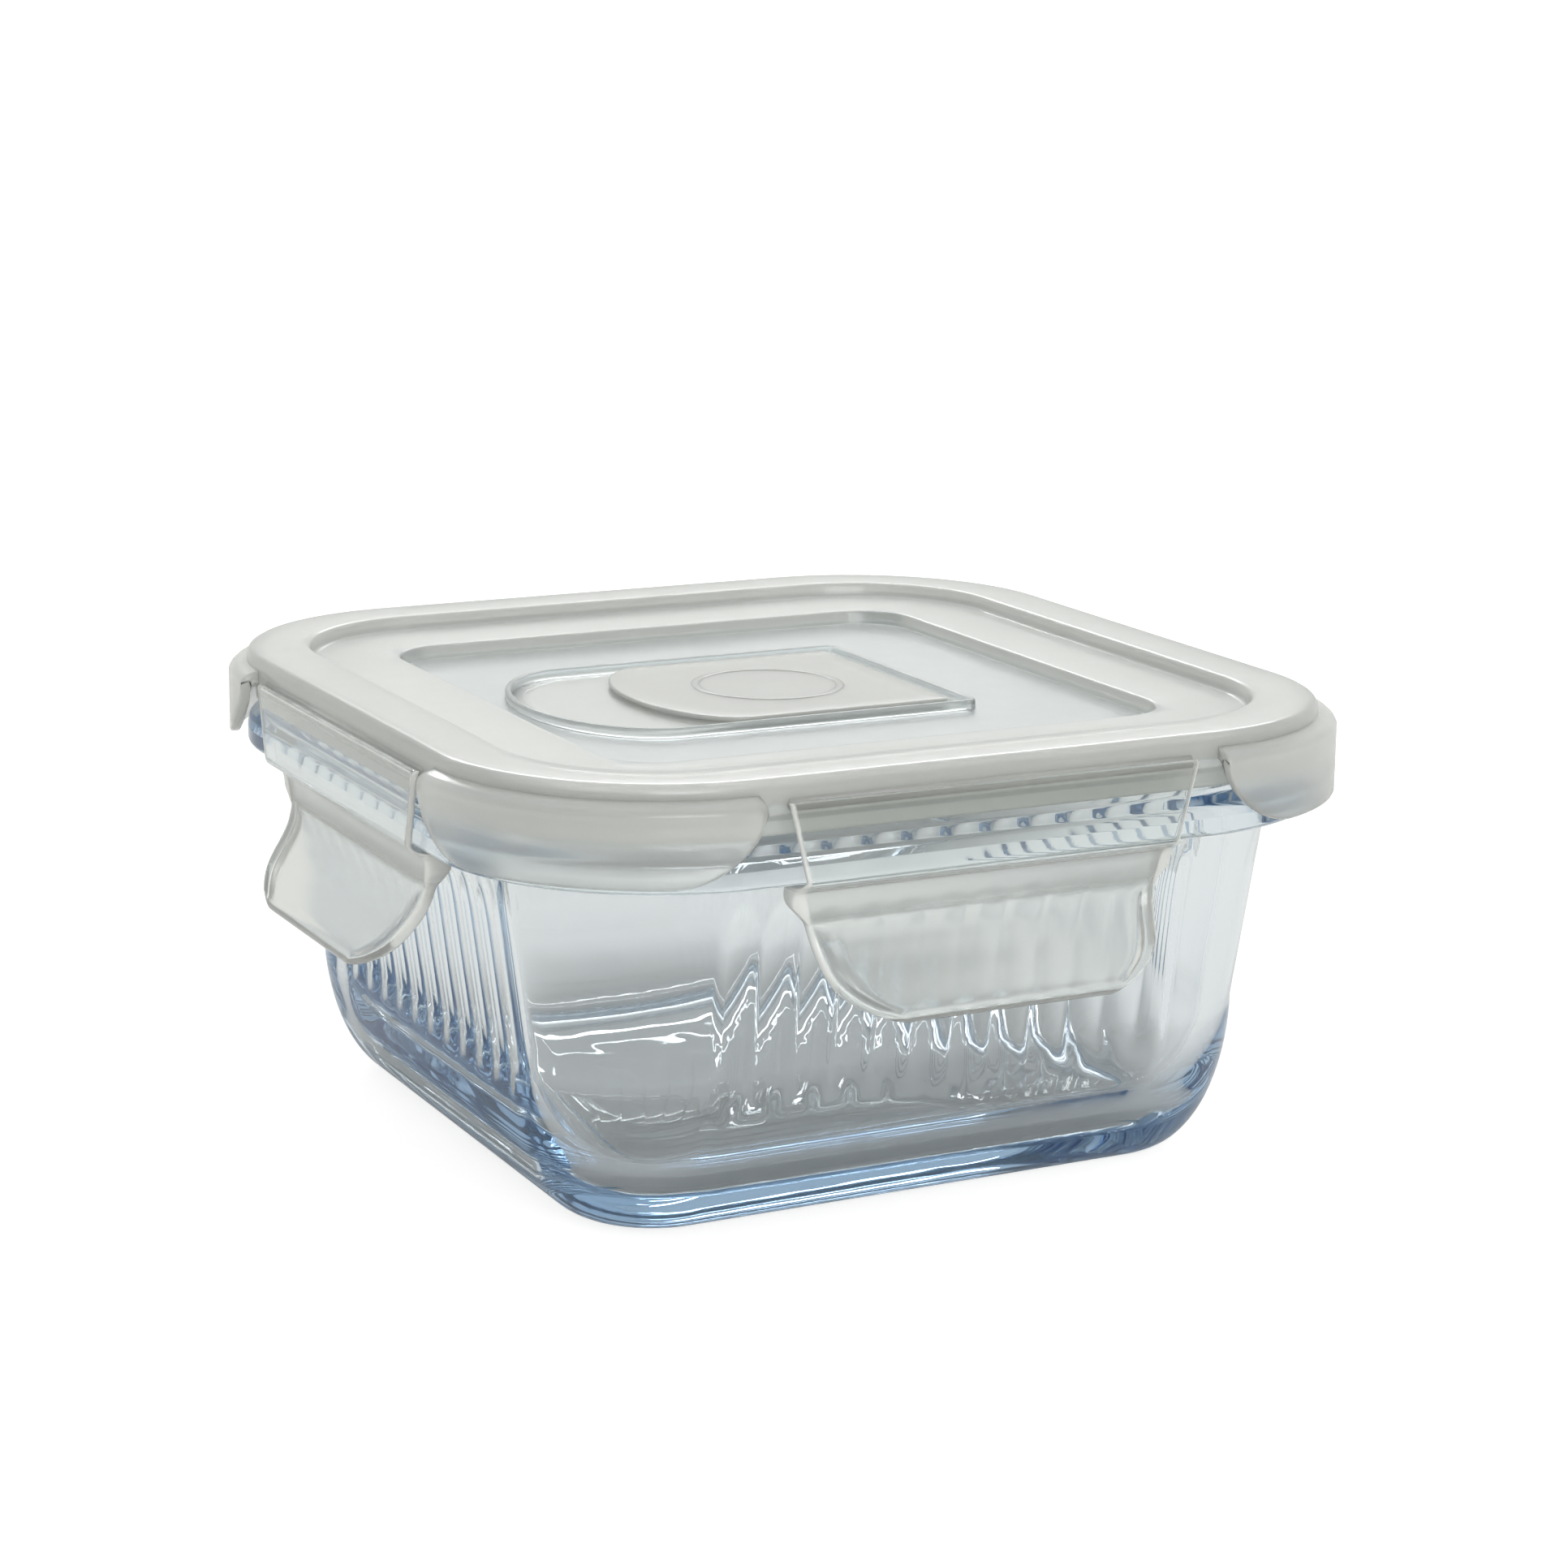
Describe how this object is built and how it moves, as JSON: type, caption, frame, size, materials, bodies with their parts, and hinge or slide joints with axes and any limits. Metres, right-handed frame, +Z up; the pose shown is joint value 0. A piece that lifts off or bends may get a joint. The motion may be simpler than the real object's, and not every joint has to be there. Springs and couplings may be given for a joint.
{
  "type": "glass food storage container",
  "caption": "Small square glass food box with fluted walls, a translucent lid held down by hinged side clips, and a flip-up steam vent.",
  "frame": {"origin": "centre of the foot, on the surface the dish stands on", "axes": "+Z up; the clips face -Y, +X, +Y and -X; the vent flap is hinged on its +X edge and its finger scoop is on the -X side"},
  "size_m": [0.1302, 0.1302, 0.0598],
  "materials": {
    "glass": "clear pressed glass, faint blue where it is thick",
    "lid_plastic": "frosted translucent polypropylene",
    "clip_plastic": "frosted translucent polypropylene, clearer where it is thin",
    "vent_plastic": "frosted translucent polypropylene",
    "seal_silicone": "clear silicone rubber"
  },
  "bodies": {
    "dish": {"glass_dish": "glass"},
    "lid": {"lid_shell": "lid_plastic", "lid_seal": "seal_silicone"},
    "vent": {"vent_flap": "vent_plastic", "vent_plug": "seal_silicone"},
    "clip_front": {"clip_front": "clip_plastic", "locking_rib_front": "clip_plastic", "thumb_tab_front": "clip_plastic"},
    "clip_right": {"clip_right": "clip_plastic", "locking_rib_right": "clip_plastic", "thumb_tab_right": "clip_plastic"},
    "clip_back": {"clip_back": "clip_plastic", "locking_rib_back": "clip_plastic", "thumb_tab_back": "clip_plastic"},
    "clip_left": {"clip_left": "clip_plastic", "locking_rib_left": "clip_plastic", "thumb_tab_left": "clip_plastic"}
  },
  "joints": [
    {"name": "lid_lift", "type": "slide", "parent": "dish", "child": "lid", "axis": [0, 0, 1], "range_m": [0, 0.07], "deforming": ["locking_rib_front", "locking_rib_right", "locking_rib_back", "locking_rib_left"]},
    {"name": "vent_hinge", "type": "hinge", "parent": "lid", "child": "vent", "pos_m": [0.0176, 0, 0.0569], "axis": [0, 1, 0], "range_deg": [0, 110]},
    {"name": "clip_front_hinge", "type": "hinge", "parent": "lid", "child": "clip_front", "pos_m": [0, -0.0606, 0.0564], "axis": [-1, 0, 0], "range_deg": [0, 165]},
    {"name": "clip_right_hinge", "type": "hinge", "parent": "lid", "child": "clip_right", "pos_m": [0.0606, 0, 0.0564], "axis": [0, -1, 0], "range_deg": [0, 165]},
    {"name": "clip_back_hinge", "type": "hinge", "parent": "lid", "child": "clip_back", "pos_m": [0, 0.0606, 0.0564], "axis": [1, 0, 0], "range_deg": [0, 165]},
    {"name": "clip_left_hinge", "type": "hinge", "parent": "lid", "child": "clip_left", "pos_m": [-0.0606, 0, 0.0564], "axis": [0, 1, 0], "range_deg": [0, 165]}
  ]
}
